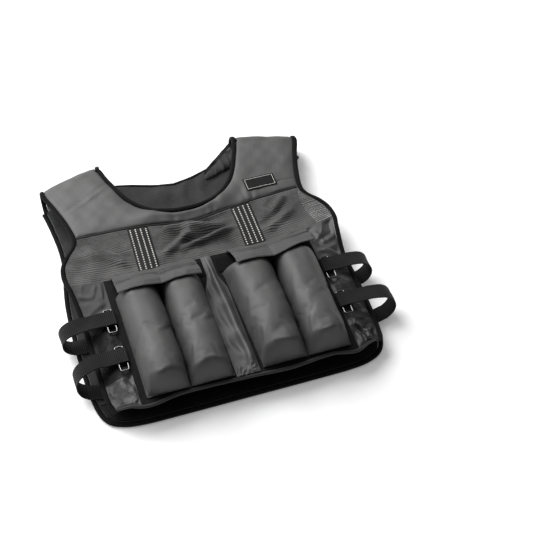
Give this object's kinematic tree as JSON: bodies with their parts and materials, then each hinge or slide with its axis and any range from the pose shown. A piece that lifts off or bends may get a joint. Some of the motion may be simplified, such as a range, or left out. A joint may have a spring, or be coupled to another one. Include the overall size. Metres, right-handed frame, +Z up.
{
  "type": "weighted vest",
  "caption": "Sleeveless padded weighted vest with long filled front pockets, a mesh chest and looped webbing side straps, lying on its back.",
  "frame": {"origin": "on the floor, at the middle of the vest's bounding box", "axes": "+Z up from the floor that the back lies on, +Y from the hem to the shoulders, +X to the right as the vest is seen from the hem"},
  "size_m": [0.4782, 0.4886, 0.0825],
  "materials": {
    "nylon": "fine plain-woven charcoal nylon with a soft sheen",
    "mesh": "ribbed open mesh, matte",
    "lining": "dark grey lining, matte",
    "black_cloth": "black cloth, matte",
    "binding": "ribbed black binding tape",
    "webbing": "ribbed black webbing",
    "steel": "polished wire"
  },
  "bodies": {
    "root": {"back_panel": "nylon", "back_lining": "lining", "back_facing": "black_cloth", "back_binding": "binding", "back_neck_binding": "binding", "front_yoke": "nylon", "neck_binding": "binding", "edge_binding_left": "binding", "edge_binding_right": "binding", "yoke_piping": "black_cloth", "front_mesh": "mesh", "tape_left": "webbing", "tape_right": "webbing", "label_patch": "black_cloth", "front_panel": "nylon", "centre_strip": "nylon", "front_hem_binding": "binding", "wing_lower_left": "nylon", "wing_lower_right": "nylon", "side_inset_left": "black_cloth", "side_inset_right": "black_cloth", "wing_upper_left": "nylon", "wing_upper_right": "nylon", "pocket_1": "nylon", "pocket_2": "nylon", "pocket_3": "nylon", "pocket_4": "nylon", "flap_left": "nylon", "flap_right": "nylon", "hook_patch_left": "black_cloth", "hook_patch_right": "black_cloth", "strap_left_top": "webbing", "strap_left_low": "webbing", "strap_right_top": "webbing", "strap_right_low": "webbing", "ring_left_top": "steel", "ring_left_low": "steel", "ring_right_top": "steel", "ring_right_low": "steel"}
  },
  "joints": []
}
